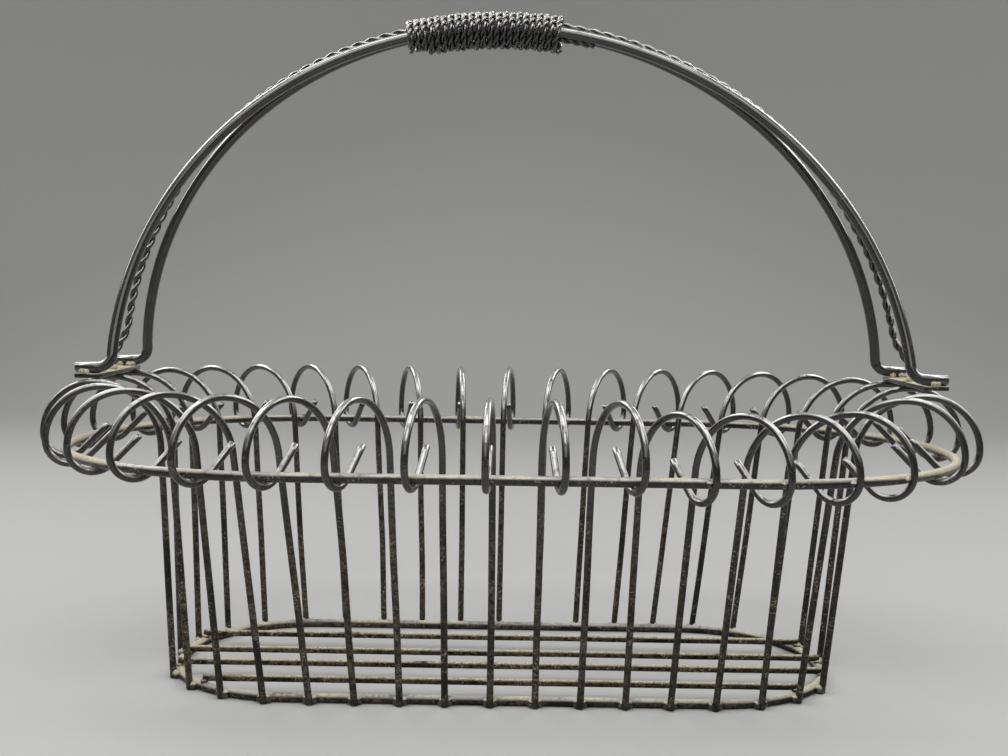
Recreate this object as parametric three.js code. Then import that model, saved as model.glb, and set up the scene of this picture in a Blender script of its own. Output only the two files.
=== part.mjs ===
// Iron wire basket with a fixed arch handle, every wire a separate body.
// Units are millimetres. X runs along the basket, Y across it, Z up from the table.
import * as THREE from "three";

// Wire, rod and bar sizes (diameters unless the name says otherwise)
const ringWire = 5;
const uprightWire = 3.8;
const floorWire = 3.8;
const handleRod = 6;
const twistedPair = 4.4;
const windingWire = 3;
const plateWidth = 14.5;
const plateLength = 81;
const plateThickness = 2.5;
const plateCornerRadius = 1.2;

// Space left between pieces that are welded to each other
const weldGap = 0.25;

// Base ring, measured to the middle of its wire: an oval with straight sides and ends
const baseSideStraight = 227;
const baseEndStraight = 13;
const baseCornerRadius = 71;

// The rim ring is the base ring's outline moved outward by the flare. The basket leans a
// little to the right, so the base ring's middle stands off the rim ring's by baseShift.
const flare = 64;
const baseShift = -3.7;

// Rows of uprights. Their feet and their hooks are spaced evenly between these two shares of
// the way round each ring, counted anticlockwise from the middle of the +X end.
const backUprights = 19;
const backFeet = [0.0105, 0.493];
const backHooks = [0.0035, 0.4955];
const frontUprights = 17;
const frontFeet = [0.54, 0.949];
const frontHooks = [0.53, 0.953];

// Scrolled wire of an upright
const curlTopHeight = 167;
const curlInnerRadius = 36;
const curlOuterRadius = 28.3;
const hookRadius = 12.5;
const tipLength = 20;
const tipSlope = 45;
const footHeight = 0.7;
// These hooks of the front row, counted from its left end, hang lower and touch the rim
// ring's outer side
const looseHooks = [11, 12, 13, 14];
const looseDrop = 5.5;

// Floor wires, lying on the base ring, as shares of the way from its middle to its side
const floorWirePlaces = [0.4, -0.05, -0.38, -0.78];
const floorWireOverhang = 0.8;

// Plates lie on the curls' tops with their middle this far inside them
const plateSetback = 0;

// Arch handle: two rods that follow the upper part of an oval whose middle lies below the
// plates by archDip. They stand this far inside the plates, and their feet bend outward.
// The arch's top stands off the middle by archLean.
const archInset = 5;
const archDip = 9.5;
const archTopHeight = 366.7;
const archLean = -7.2;
const footEdge = 3.5;
const footBendRadius = 8;
const footEndInset = 0.5;

// Grip: where the rods lie side by side and the winding holds them. The winding hangs on the
// twisted pair and leaves some slack round the rods.
const gripMiddle = -17.2;
const gripTurns = 23;
const turnGap = 0.65;
const windingSlack = 2;
const tailLength = 14;
const tailBendRadius = 4;

// Twisted pair: how far inside the plate's inner edge it ends, and its place above the
// arch line on the legs. It comes to that place, leaves it and reaches the rods' groove at
// these shares of the rise from the plates to the grip.
const twistFootInset = 5;
const twistLegOffset = 2.5;
const twistLegFrom = 0.12;
const twistLegTo = 0.38;
const twistGrooveFrom = 0.75;

// How finely round shapes are cut into flats
const ringSides = 8;
const wireSides = 6;
const rodSides = 8;
const baseCornerSteps = 14;
const rimCornerSteps = 18;
const curlSteps = 5;
const hookSteps = 6;
const archSteps = 44;
const bendSteps = 6;
const windingSteps = 24;
const sectionSteps = 720;
const plateCornerSteps = 3;

// A flat-sided tube has the cross-section area of the round wire that it stands for.
// The reach is how far its edges then stand from the middle; the flat is how far its flats do.
function reach(diameter, sides) {
  return (diameter / 2) * Math.sqrt((2 * Math.PI) / (sides * Math.sin((2 * Math.PI) / sides)));
}

function flat(diameter, sides) {
  return reach(diameter, sides) * Math.cos(Math.PI / sides);
}

function smooth(value, from, to) {
  const t = THREE.MathUtils.clamp((value - from) / (to - from), 0, 1);
  return t * t * (3 - 2 * t);
}

// Tube through a list of points. Each section stands square to the path, and one of its
// flats faces the direction that sideways gives for the section.
function tube(points, diameter, sides, sideways, closed) {
  const radius = reach(diameter, sides);
  const count = points.length;
  const positions = [];
  const indices = [];
  for (let i = 0; i < count; i += 1) {
    const before = closed ? points[(i + count - 1) % count] : points[Math.max(i - 1, 0)];
    const after = closed ? points[(i + 1) % count] : points[Math.min(i + 1, count - 1)];
    const stepIn = points[i].clone().sub(before);
    const stepOut = after.clone().sub(points[i]);
    const along = stepIn.clone().normalize().add(stepOut.clone().normalize()).normalize();
    const side = sideways(i).clone();
    side.addScaledVector(along, -side.dot(along)).normalize();
    const other = along.clone().cross(side);
    // A mitre keeps the tube at its full thickness where the path bends
    const bend = stepIn.length() > 0 && stepOut.length() > 0 ? stepIn.angleTo(stepOut) : 0;
    const turn = stepOut.clone().normalize().sub(stepIn.clone().normalize());
    const mitre = 1 / Math.cos(bend / 2);
    for (let k = 0; k < sides; k += 1) {
      const angle = ((k + 0.5) * 2 * Math.PI) / sides;
      const offset = side.clone().multiplyScalar(radius * Math.cos(angle));
      offset.addScaledVector(other, radius * Math.sin(angle));
      if (bend > 1e-6) {
        const inward = turn.clone().normalize();
        offset.addScaledVector(inward, offset.dot(inward) * (mitre - 1));
      }
      const point = points[i].clone().add(offset);
      positions.push(point.x, point.y, point.z);
    }
  }
  const spans = closed ? count : count - 1;
  for (let i = 0; i < spans; i += 1) {
    const here = i * sides;
    const next = ((i + 1) % count) * sides;
    for (let k = 0; k < sides; k += 1) {
      const l = (k + 1) % sides;
      indices.push(here + k, here + l, next + l);
      indices.push(here + k, next + l, next + k);
    }
  }
  if (!closed) {
    const last = (count - 1) * sides;
    for (let k = 1; k < sides - 1; k += 1) {
      indices.push(0, k + 1, k);
      indices.push(last, last + k, last + k + 1);
    }
  }
  const geometry = new THREE.BufferGeometry();
  geometry.setAttribute("position", new THREE.Float32BufferAttribute(positions, 3));
  geometry.setIndex(indices);
  return geometry;
}

// Oval with straight sides and round corners, moved outward by an offset. It starts at
// the middle of the +X end and goes anticlockwise, seen from above.
function oval(offset) {
  const radius = baseCornerRadius + offset;
  const endStraight = baseEndStraight / 2;
  const sideStraight = baseSideStraight / 2;
  const corner = (radius * Math.PI) / 2;
  return {
    radius,
    endStraight,
    sideStraight,
    length: 4 * (endStraight + sideStraight + corner),
    quarter: endStraight + sideStraight + corner,
  };
}

// Point and outward direction at a distance along an oval
function ovalPoint(shape, distance) {
  const turns = distance / shape.quarter;
  const quadrant = ((Math.floor(turns) % 4) + 4) % 4;
  const rest = distance - Math.floor(turns) * shape.quarter;
  const mirrored = quadrant % 2 === 1;
  const along = mirrored ? shape.quarter - rest : rest;
  const point = new THREE.Vector3();
  const outward = new THREE.Vector3();
  const angle = THREE.MathUtils.clamp((along - shape.endStraight) / shape.radius, 0, Math.PI / 2);
  const past = Math.max(along - shape.endStraight - (shape.radius * Math.PI) / 2, 0);
  point.x = shape.sideStraight + shape.radius * Math.cos(angle) - past;
  point.y = Math.min(along, shape.endStraight) + shape.radius * Math.sin(angle);
  outward.set(Math.cos(angle), Math.sin(angle), 0);
  if (quadrant === 1 || quadrant === 2) {
    point.x = -point.x;
    outward.x = -outward.x;
  }
  if (quadrant === 2 || quadrant === 3) {
    point.y = -point.y;
    outward.y = -outward.y;
  }
  return { point, outward };
}

// Closed ring of wire lying level: an oval of this offset at this height, moved along by shift
function ring(offset, height, shift, cornerSteps) {
  const shape = oval(offset);
  const points = [];
  const outwards = [];
  for (let corner = 0; corner < 4; corner += 1) {
    const start = corner % 2 === 0 ? shape.endStraight : shape.sideStraight;
    for (let i = 0; i <= cornerSteps; i += 1) {
      const arc = (shape.radius * Math.PI * i) / (2 * cornerSteps);
      const place = ovalPoint(shape, corner * shape.quarter + start + arc);
      place.point.z = height;
      place.point.x += shift;
      points.push(place.point);
      outwards.push(place.outward);
    }
  }
  return tube(points, ringWire, ringSides, (i) => outwards[i], true);
}

// Share of the way round at which an upright of a row stands
function rowShare([first, last], index, count) {
  return first + ((last - first) * index) / (count - 1);
}

// Distance between the middles of two pieces of wire that touch but for the weld gap
const ringToUpright = reach(ringWire, ringSides) + reach(uprightWire, wireSides) + weldGap;
const ringToFloorWire = reach(ringWire, ringSides) + reach(floorWire, wireSides) + weldGap;

const baseHeight = flat(ringWire, ringSides);
const curlHeight = curlTopHeight - reach(uprightWire, wireSides) - curlOuterRadius;
const rimHeight = curlHeight - hookRadius + ringToUpright;

// One upright, drawn as distances outward and heights: a leaning leg, a big curl outward
// and down that gets tighter at its top, a smaller hook under the rim ring, and a straight
// tip that rises inside the curl
function uprightProfile(run, drop) {
  const points = [];
  const curlMiddle = run - (curlOuterRadius - hookRadius);
  const curlLevel = curlHeight - drop;
  const innerLevel = curlLevel + curlOuterRadius - curlInnerRadius;
  const rise = innerLevel - footHeight;
  const distance = Math.hypot(curlMiddle, rise);
  const lean = Math.atan2(curlMiddle, rise) - Math.asin(curlInnerRadius / distance);
  points.push([0, footHeight]);
  for (let i = 0; i < curlSteps; i += 1) {
    const heading = lean + ((Math.PI / 2 - lean) * i) / curlSteps;
    points.push([
      curlMiddle - curlInnerRadius * Math.cos(heading),
      innerLevel + curlInnerRadius * Math.sin(heading),
    ]);
  }
  for (let i = 0; i <= curlSteps; i += 1) {
    const heading = (Math.PI / 2) * (1 + i / curlSteps);
    points.push([
      curlMiddle - curlOuterRadius * Math.cos(heading),
      curlLevel + curlOuterRadius * Math.sin(heading),
    ]);
  }
  const lastHeading = 1.5 * Math.PI + THREE.MathUtils.degToRad(tipSlope);
  for (let i = 1; i <= hookSteps; i += 1) {
    const heading = Math.PI + ((lastHeading - Math.PI) * i) / hookSteps;
    points.push([
      run - hookRadius * Math.cos(heading),
      curlLevel + hookRadius * Math.sin(heading),
    ]);
  }
  const [tipStart, tipLevel] = points[points.length - 1];
  points.push([
    tipStart + tipLength * Math.sin(lastHeading),
    tipLevel + tipLength * Math.cos(lastHeading),
  ]);
  return points;
}

function uprightGeometry(footShare, hookShare, drop) {
  const base = oval(0);
  const rim = oval(flare);
  const foot = ovalPoint(base, footShare * base.length);
  foot.point.x += baseShift;
  const start = foot.point.clone().addScaledVector(foot.outward, ringToUpright);
  const end = ovalPoint(rim, hookShare * rim.length);
  const across = end.point.clone().sub(start);
  let run = across.length();
  across.normalize();
  if (drop > 0) {
    // A low hook stands beside the rim ring, which is cut at a slant by the hook's plane
    const touching = ringToUpright / across.dot(end.outward);
    run -= Math.sqrt(hookRadius ** 2 - (curlHeight - drop - rimHeight) ** 2) - touching;
  }
  const points = uprightProfile(run, drop).map(([out, up]) => {
    const point = start.clone().addScaledVector(across, out);
    point.z = up;
    return point;
  });
  const square = new THREE.Vector3(-across.y, across.x, 0);
  return tube(points, uprightWire, wireSides, (i) => pathNormal(points, i, square), false);
}

// Direction in the plane of a flat path that is square to the path
function pathNormal(points, i, square) {
  const before = points[Math.max(i - 1, 0)];
  const after = points[Math.min(i + 1, points.length - 1)];
  return after.clone().sub(before).normalize().cross(square).normalize();
}

function floorWireGeometry(share) {
  const shape = oval(0);
  const place = share * (shape.endStraight + shape.radius);
  const past = Math.max(Math.abs(place) - shape.endStraight, 0);
  const halfLength = shape.sideStraight + Math.sqrt(shape.radius ** 2 - past ** 2) + floorWireOverhang;
  const level = baseHeight + ringToFloorWire;
  const points = [-1, 1].map((end) => new THREE.Vector3(baseShift + end * halfLength, place, level));
  return tube(points, floorWire, wireSides, () => new THREE.Vector3(0, 0, 1), false);
}

// Flat bar lying on the tops of the curls at one end of the basket
const rimReach = baseSideStraight / 2 + baseCornerRadius + flare;
const curlTopReach = rimReach - (curlOuterRadius - hookRadius);
const plateMiddle = curlTopReach - plateSetback;
const plateBottom = curlTopHeight + weldGap;
const plateTop = plateBottom + plateThickness;

function plateGeometry(side) {
  const halfWidth = plateWidth / 2;
  const halfLength = plateLength / 2;
  const outline = new THREE.Shape();
  const corners = [[1, 1], [-1, 1], [-1, -1], [1, -1]];
  corners.forEach(([sx, sy], i) => {
    const x = sx * (halfWidth - plateCornerRadius);
    const y = sy * (halfLength - plateCornerRadius);
    outline.absarc(x, y, plateCornerRadius, (i * Math.PI) / 2, ((i + 1) * Math.PI) / 2, false);
  });
  const geometry = new THREE.ExtrudeGeometry(outline, {
    depth: plateThickness,
    bevelEnabled: false,
    curveSegments: plateCornerSteps,
  });
  geometry.translate(side * plateMiddle, 0, plateBottom);
  return geometry;
}

// The arch line that the rods follow. Its angle is footAngle where it starts at the right
// plate, and half a turn less footAngle where it ends at the left plate.
const plateInnerEdge = plateMiddle - plateWidth / 2;
const archFootReach = plateInnerEdge - archInset;
const archFootLevel = plateTop + weldGap + reach(handleRod, rodSides);
const archRise = archTopHeight - archFootLevel;
const footAngle = Math.asin(archDip / (archRise + archDip));

// Share of the arch's rise that is reached at an angle
function riseShare(angle) {
  return (Math.sin(angle) - Math.sin(footAngle)) / (1 - Math.sin(footAngle));
}

function archPoint(angle) {
  const share = riseShare(angle);
  return new THREE.Vector3(
    (archFootReach * Math.cos(angle)) / Math.cos(footAngle) + archLean * share,
    0,
    archFootLevel + archRise * share,
  );
}

function archOutward(angle) {
  const step = 1e-4;
  const along = archPoint(angle + step).sub(archPoint(angle - step)).normalize();
  return new THREE.Vector3(along.z, 0, -along.x);
}

// Angle of the arch line's point at a distance along the basket
function archAngleAt(x) {
  const halvings = 50;
  let low = 0;
  let high = Math.PI;
  for (let i = 0; i < halvings; i += 1) {
    const middle = (low + high) / 2;
    if (archPoint(middle).x > x) {
      low = middle;
    } else {
      high = middle;
    }
  }
  return (low + high) / 2;
}

const turnPitch = 2 * reach(windingWire, wireSides) + turnGap;
const gripLength = gripTurns * turnPitch;
const gripStart = gripMiddle - gripLength / 2;
const gripEnd = gripMiddle + gripLength / 2;

// Rise at which the rods come together, on the left leg and on the right one
const togetherLeft = riseShare(archAngleAt(gripStart - windingWire));
const togetherRight = riseShare(archAngleAt(gripEnd + tailBendRadius + tailLength));

// How far up a leg an angle is: 0 at the foot and 1 from where the rods come together
function legShare(angle) {
  const together = angle < Math.PI / 2 ? togetherRight : togetherLeft;
  return THREE.MathUtils.clamp(riseShare(angle) / together, 0, 1);
}

// Half the space between the middles of the two rods, at the feet and at the grip. Each leg
// is bent in one plane, so between them the spread goes evenly with the height.
const footSpread = plateLength / 2 - footEdge;
const gripSpread = reach(handleRod, rodSides) + weldGap / 2;

function rodPoint(side, angle) {
  const point = archPoint(angle);
  point.y = side * THREE.MathUtils.lerp(footSpread, gripSpread, legShare(angle));
  return point;
}

// Round bend at a corner between the directions towards its two ends, which it touches
function bendPoints(corner, towardStart, towardEnd, radius) {
  const inward = towardStart.clone().add(towardEnd).normalize();
  const across = towardEnd.clone().sub(towardStart).normalize();
  const half = towardStart.angleTo(towardEnd) / 2;
  const middle = corner.clone().addScaledVector(inward, radius / Math.sin(half));
  const points = [];
  for (let i = 0; i <= bendSteps; i += 1) {
    const turn = (Math.PI / 2 - half) * ((2 * i) / bendSteps - 1);
    const point = middle.clone().addScaledVector(inward, -radius * Math.cos(turn));
    points.push(point.addScaledVector(across, radius * Math.sin(turn)));
  }
  return points;
}

// A rod's foot on one plate, from its end to where the bend meets the leg
function footPoints(side, end) {
  const footAt = end > 0 ? footAngle : Math.PI - footAngle;
  const corner = rodPoint(side, footAt);
  const footEnd = corner.clone().setX(end * (plateMiddle + plateWidth / 2 - footEndInset));
  const up = rodPoint(side, footAt + (end * Math.PI) / archSteps).sub(corner).normalize();
  const out = new THREE.Vector3(end, 0, 0);
  return [footEnd, ...bendPoints(corner, out, up, footBendRadius)];
}

// A rod: foot lying outward on the right plate, bend, arch, bend and left foot
function handleRodGeometry(side) {
  const right = footPoints(side, 1);
  const left = footPoints(side, -1).reverse();
  const lowest = Math.max(right[right.length - 1].z, left[0].z) + handleRod / 2;
  const arch = [];
  for (let i = 1; i < archSteps; i += 1) {
    const point = rodPoint(side, THREE.MathUtils.lerp(footAngle, Math.PI - footAngle, i / archSteps));
    if (point.z > lowest) {
      arch.push(point);
    }
  }
  const across = new THREE.Vector3(0, 1, 0);
  return tube([...right, ...arch, ...left], handleRod, rodSides, () => across, false);
}

// The twisted pair of wires, as one round wire that fills the space of both strands.
// It lies in the groove on top of the rods at the grip and between them lower down.
const rodToTwist = reach(handleRod, rodSides) + reach(twistedPair, rodSides) + weldGap;
const grooveOffset = Math.sqrt(rodToTwist ** 2 - gripSpread ** 2);
const twistFootOffset = plateInnerEdge + twistFootInset - archFootReach;

function twistOffset(angle) {
  const share = legShare(angle);
  const nearFoot = 1 - smooth(share, 0, twistLegFrom);
  const nearGrip = smooth(share, twistLegTo, twistGrooveFrom);
  const onLeg = (1 - nearFoot) * (1 - nearGrip);
  return twistFootOffset * nearFoot + twistLegOffset * onLeg + grooveOffset * nearGrip;
}

function twistPoint(angle) {
  return archPoint(angle).addScaledVector(archOutward(angle), twistOffset(angle));
}

function twistedPairGeometry() {
  const points = [];
  const end = plateTop + weldGap;
  for (let i = 0; i <= archSteps; i += 1) {
    points.push(twistPoint(THREE.MathUtils.lerp(footAngle, Math.PI - footAngle, i / archSteps)));
  }
  const right = points[0].clone().setZ(end);
  const left = points[points.length - 1].clone().setZ(end);
  points.unshift(right);
  points.push(left);
  return tube(points, twistedPair, rodSides, () => new THREE.Vector3(0, 1, 0), false);
}

// Closed path round the two rods and the twisted pair, as the winding's middle goes. It
// starts below, halfway between the rods, and goes up the front, over and down the back.
function windingSection() {
  const out = weldGap + reach(windingWire, wireSides);
  const rodReach = reach(handleRod, rodSides) + out + windingSlack;
  const circles = [
    [-gripSpread, 0, rodReach],
    [gripSpread, 0, rodReach],
    [0, grooveOffset, reach(twistedPair, rodSides) + out],
  ];
  const bottom = [0, -rodReach];
  const outline = [bottom];
  for (let i = 0; i < sectionSteps; i += 1) {
    const angle = -Math.PI / 2 - (2 * Math.PI * (i + 0.5)) / sectionSteps;
    const ny = Math.cos(angle);
    const nz = Math.sin(angle);
    const outAt = ([y, z, radius]) => y * ny + z * nz + radius;
    const far = circles.reduce((best, circle) => (outAt(circle) > outAt(best) ? circle : best));
    outline.push([far[0] + far[2] * ny, far[1] + far[2] * nz]);
  }
  outline.push(bottom);
  const lengths = [0];
  for (let i = 1; i < outline.length; i += 1) {
    const step = Math.hypot(outline[i][0] - outline[i - 1][0], outline[i][1] - outline[i - 1][1]);
    lengths.push(lengths[i - 1] + step);
  }
  return { outline, lengths, length: lengths[lengths.length - 1] };
}

function sectionPoint(section, distance) {
  const rest = ((distance % section.length) + section.length) % section.length;
  let i = 1;
  while (i < section.lengths.length - 1 && section.lengths[i] < rest) {
    i += 1;
  }
  const from = section.lengths[i - 1];
  const span = section.lengths[i] - from;
  const t = span > 0 ? (rest - from) / span : 0;
  const [y0, z0] = section.outline[i - 1];
  const [y1, z1] = section.outline[i];
  return [y0 + (y1 - y0) * t, z0 + (z1 - z0) * t];
}

// The whole winding with its tail: the path is first laid out flat, as distance along
// the arch and distance round the section, and then wrapped round the rods. It starts
// straight across under both rods, and its tail runs along under the front rod.
function windingPath() {
  const section = windingSection();
  const slope = turnPitch / section.length;
  const first = -gripSpread;
  const wound = gripTurns * section.length + gripSpread - tailBendRadius - first;
  const steps = Math.round((wound / section.length) * windingSteps);
  const laid = [];
  for (let i = 0; i <= steps; i += 1) {
    const round = first + (wound * i) / steps;
    laid.push([gripStart + round * slope, round]);
  }
  const [bendAlong, bendRound] = laid[laid.length - 1];
  for (let i = 1; i <= bendSteps; i += 1) {
    const turn = ((Math.PI / 2) * i) / bendSteps;
    laid.push([
      bendAlong + tailBendRadius * (1 - Math.cos(turn)),
      bendRound + tailBendRadius * Math.sin(turn),
    ]);
  }
  const [tailAlong, tailRound] = laid[laid.length - 1];
  laid.push([tailAlong + tailLength / 2, tailRound]);
  laid.push([tailAlong + tailLength, tailRound]);
  return laid.map(([along, round]) => {
    const angle = archAngleAt(along);
    const [y, z] = sectionPoint(section, round);
    const point = archPoint(angle).addScaledVector(archOutward(angle), z);
    point.y = y;
    return point;
  });
}

// Least space between the winding and itself, measured between points of its path
// that are more than half a turn apart
function windingSelfGap(points) {
  let least = Infinity;
  for (let i = 0; i < points.length; i += 1) {
    for (let j = i + windingSteps / 2; j < Math.min(i + 3 * windingSteps, points.length); j += 1) {
      least = Math.min(least, points[i].distanceTo(points[j]));
    }
  }
  return least - 2 * reach(windingWire, wireSides);
}

function windingGeometry() {
  const points = windingPath();
  console.log(`least gap of the winding to itself: ${windingSelfGap(points).toFixed(2)} mm`);
  return tube(points, windingWire, wireSides, (i) => windingOutward(points[i]), false);
}

// Direction at a point of the winding away from the middle of the three bars inside it
function windingOutward(point) {
  const angle = archAngleAt(point.x);
  const middle = archPoint(angle).addScaledVector(archOutward(angle), grooveOffset / 3);
  return point.clone().sub(middle);
}

// Paint and iron colours
const glossBlack = { color: 0x17181a, roughness: 0.32, metalness: 0.25 };
const wornBlack = { color: 0x2c2a27, roughness: 0.6, metalness: 0.25 };
const dustyBlack = { color: 0x4a463c, roughness: 0.8, metalness: 0.15 };

const basket = new THREE.Group();
basket.name = "iron_basket";

function add(name, geometry, look) {
  const mesh = new THREE.Mesh(geometry, new THREE.MeshStandardMaterial({ ...look }));
  geometry.computeVertexNormals();
  mesh.name = name;
  basket.add(mesh);
}

add("base_ring", ring(0, baseHeight, baseShift, baseCornerSteps), dustyBlack);
floorWirePlaces.forEach((place, i) => {
  add(`floor_wire_${i + 1}`, floorWireGeometry(place), dustyBlack);
});
add("rim_ring", ring(flare, rimHeight, 0, rimCornerSteps), dustyBlack);
const uprights = [];
for (let i = 0; i < backUprights; i += 1) {
  const feet = rowShare(backFeet, i, backUprights);
  uprights.push(uprightGeometry(feet, rowShare(backHooks, i, backUprights), 0));
}
for (let i = 0; i < frontUprights; i += 1) {
  const feet = rowShare(frontFeet, i, frontUprights);
  const drop = looseHooks.includes(i) ? looseDrop : 0;
  uprights.push(uprightGeometry(feet, rowShare(frontHooks, i, frontUprights), drop));
}
uprights.forEach((geometry, i) => {
  add(`upright_${String(i + 1).padStart(2, "0")}`, geometry, wornBlack);
});
add("plate_right", plateGeometry(1), wornBlack);
add("plate_left", plateGeometry(-1), wornBlack);
add("handle_rod_front", handleRodGeometry(-1), glossBlack);
add("handle_rod_rear", handleRodGeometry(1), glossBlack);
add("handle_twisted_wire", twistedPairGeometry(), glossBlack);
add("grip_winding", windingGeometry(), glossBlack);

export default basket;
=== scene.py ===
# %% [markdown]
# # Iron basket with a fixed arch handle
# The real basket is bent from black-painted iron wire and welded at every crossing. Nothing
# on it moves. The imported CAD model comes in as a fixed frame, and each wire in it has six or
# eight flats. Here every wire is drawn again as a round one, the twisted wires get their
# strands, the welds get their beads, and the paint gets its gloss, wear, dust and dirt.

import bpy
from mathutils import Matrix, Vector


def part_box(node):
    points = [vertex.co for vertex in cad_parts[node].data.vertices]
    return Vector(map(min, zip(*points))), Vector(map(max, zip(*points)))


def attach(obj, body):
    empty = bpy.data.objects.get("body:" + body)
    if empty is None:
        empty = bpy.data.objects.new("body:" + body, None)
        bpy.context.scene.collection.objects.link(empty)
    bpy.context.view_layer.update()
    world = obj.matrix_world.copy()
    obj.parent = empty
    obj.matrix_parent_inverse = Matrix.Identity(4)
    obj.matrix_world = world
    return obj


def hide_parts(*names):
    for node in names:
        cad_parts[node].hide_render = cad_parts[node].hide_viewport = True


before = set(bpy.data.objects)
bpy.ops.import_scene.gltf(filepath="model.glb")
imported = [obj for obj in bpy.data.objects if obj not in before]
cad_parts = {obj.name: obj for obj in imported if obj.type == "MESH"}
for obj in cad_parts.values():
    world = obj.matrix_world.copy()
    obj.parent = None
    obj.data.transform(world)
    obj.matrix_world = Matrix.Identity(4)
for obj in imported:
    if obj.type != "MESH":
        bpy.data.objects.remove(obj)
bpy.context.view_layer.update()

# %% [markdown]
# ## Tools and units
# Blender works in metres. Wire sizes are easier to read in millimetres, so each size below is
# written in millimetres times mm. All unevenness comes from Blender's fixed noise field, so
# every run gives the same basket.

# %% Tools and units
from math import asin, atan2, cos, dist, hypot, pi, radians, sin, sqrt

import bmesh
import bpy
from mathutils import Matrix, Vector, noise

mm = 0.001
print("one millimetre is", mm, "of Blender's units")

# %% [markdown]
# ## Driving dimensions
# These are the sizes that the solids were made with. Heights come from the frame's own boxes,
# so that each drawn wire lies on its solid.

# %% Wire sizes
ring_wire = 5.0 * mm
upright_wire = 3.8 * mm
floor_wire = 3.8 * mm
handle_rod = 6.0 * mm
pair_strand = 2.2 * mm
winding_strand = 1.9 * mm
weld_gap = 0.3 * mm
print("ring, upright and rod wire:", ring_wire, upright_wire, handle_rod)

# %% Plan and height of the two rings
side_straight = 227 * mm
end_straight = 13 * mm
corner_radius = 71 * mm
flare = 64 * mm


def node_middle(node):
    low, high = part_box(node)
    return (low + high) / 2


base_middle = node_middle("base_ring")
base_level = ring_wire / 2
rim_level = node_middle("rim_ring").z
floor_level = node_middle("floor_wire_1").z
print("heights of base ring, floor wires and rim:", base_level, floor_level, rim_level)
print("the base stands off the rim's middle by", round(base_middle.x / mm, 2), "mm")

# %% [markdown]
# ## The oval that everything follows
# Both rings are ovals with straight sides and round corners. A point on them is named by its
# share of the way round, from the middle of the right end, anticlockwise seen from above. One
# function gives the point and the direction outward, so rings and uprights agree.

# %% Oval
def oval_quarter(offset):
    return (side_straight + end_straight) / 2 + (corner_radius + offset) * pi / 2


def oval_point(offset, share):
    """Point and outward direction; offset 0 is the base ring, and flare is the rim ring."""
    radius = corner_radius + offset
    quarter = oval_quarter(offset)
    turns = (share % 1.0) * 4
    quadrant = int(turns)
    rest = (turns - quadrant) * quarter
    along = quarter - rest if quadrant % 2 else rest
    angle = min(max((along - end_straight / 2) / radius, 0), pi / 2)
    past = max(along - end_straight / 2 - radius * pi / 2, 0)
    x = side_straight / 2 + radius * cos(angle) - past
    y = min(along, end_straight / 2) + radius * sin(angle)
    left = -1 if quadrant in (1, 2) else 1
    front = -1 if quadrant in (2, 3) else 1
    shift = base_middle.x if offset < flare / 2 else 0.0
    outward = Vector((left * cos(angle), front * sin(angle), 0))
    return Vector((shift + left * x, front * y, 0)), outward


print("way round the base ring:", round(4 * oval_quarter(0), 4), "m")

# %% [markdown]
# ## Drawing a wire
# A wire is a path with a round section. It could be a circle spun and extruded along the
# path, but a curve with a bevel does this in one step and keeps the section square to the
# path, so the curve is used and then made a mesh. The ends stay flat, as cutters leave them,
# and smooth shading softens their edges.

# %% Mesh from a bevelled curve
def curve_mesh(paths, diameter, sides, closed):
    curve = bpy.data.curves.new("path", "CURVE")
    curve.dimensions = "3D"
    curve.bevel_depth = diameter / 2
    curve.bevel_resolution = (sides - 4) // 2
    curve.use_fill_caps = True
    for path in paths:
        spline = curve.splines.new("POLY")
        spline.points.add(len(path) - 1)
        for place, point in zip(spline.points, path):
            place.co = (*point, 1)
        spline.use_cyclic_u = closed
    holder = bpy.data.objects.new("path", curve)
    bpy.context.scene.collection.objects.link(holder)
    shape = holder.evaluated_get(bpy.context.evaluated_depsgraph_get())
    mesh = bpy.data.meshes.new_from_object(shape)
    bpy.data.objects.remove(holder)
    bpy.data.curves.remove(curve)
    return mesh


wire_sides = 14
flat_depth = ring_wire / 2 * (1 - cos(pi / wire_sides))
print("the middle of a flat lies", round(flat_depth / mm, 3), "mm inside a ring's true circle")

# %% Wire
same_point = 1e-7


def wire(bm, paths, diameter, sides=wire_sides, closed=False):
    """Add wires along the paths, with doubled points merged and faces turned outward."""
    mesh = curve_mesh(paths, diameter, sides, closed)
    one = bmesh.new()
    one.from_mesh(mesh)
    bmesh.ops.remove_doubles(one, verts=one.verts, dist=same_point)
    bmesh.ops.recalc_face_normals(one, faces=one.faces)
    one.to_mesh(mesh)
    one.free()
    bm.from_mesh(mesh)
    bpy.data.meshes.remove(mesh)


trial = bmesh.new()
wire(trial, [[Vector(), Vector((10 * mm, 0, 0))]], ring_wire)
print("a straight piece of ring wire has", len(trial.faces), "faces")
trial.free()

# %% [markdown]
# ## A finished piece
# Every piece is one mesh whose object stays at the origin. It stands for its CAD nodes, rides
# on the one body that the basket has, and takes its finish as a material.

# %% Piece from a mesh being built
def finish_piece(name, bm, material, nodes=()):
    mesh = bpy.data.meshes.new(name)
    for face in bm.faces:
        face.smooth = True
    bm.to_mesh(mesh)
    bm.free()
    piece = bpy.data.objects.new(name, mesh)
    bpy.context.scene.collection.objects.link(piece)
    piece.data.materials.append(material)
    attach(piece, "root")
    if nodes:
        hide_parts(*nodes)
    print(name, "has", len(mesh.polygons), "faces")


print("nodes that wait for their drawn pieces:", len(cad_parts))
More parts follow.
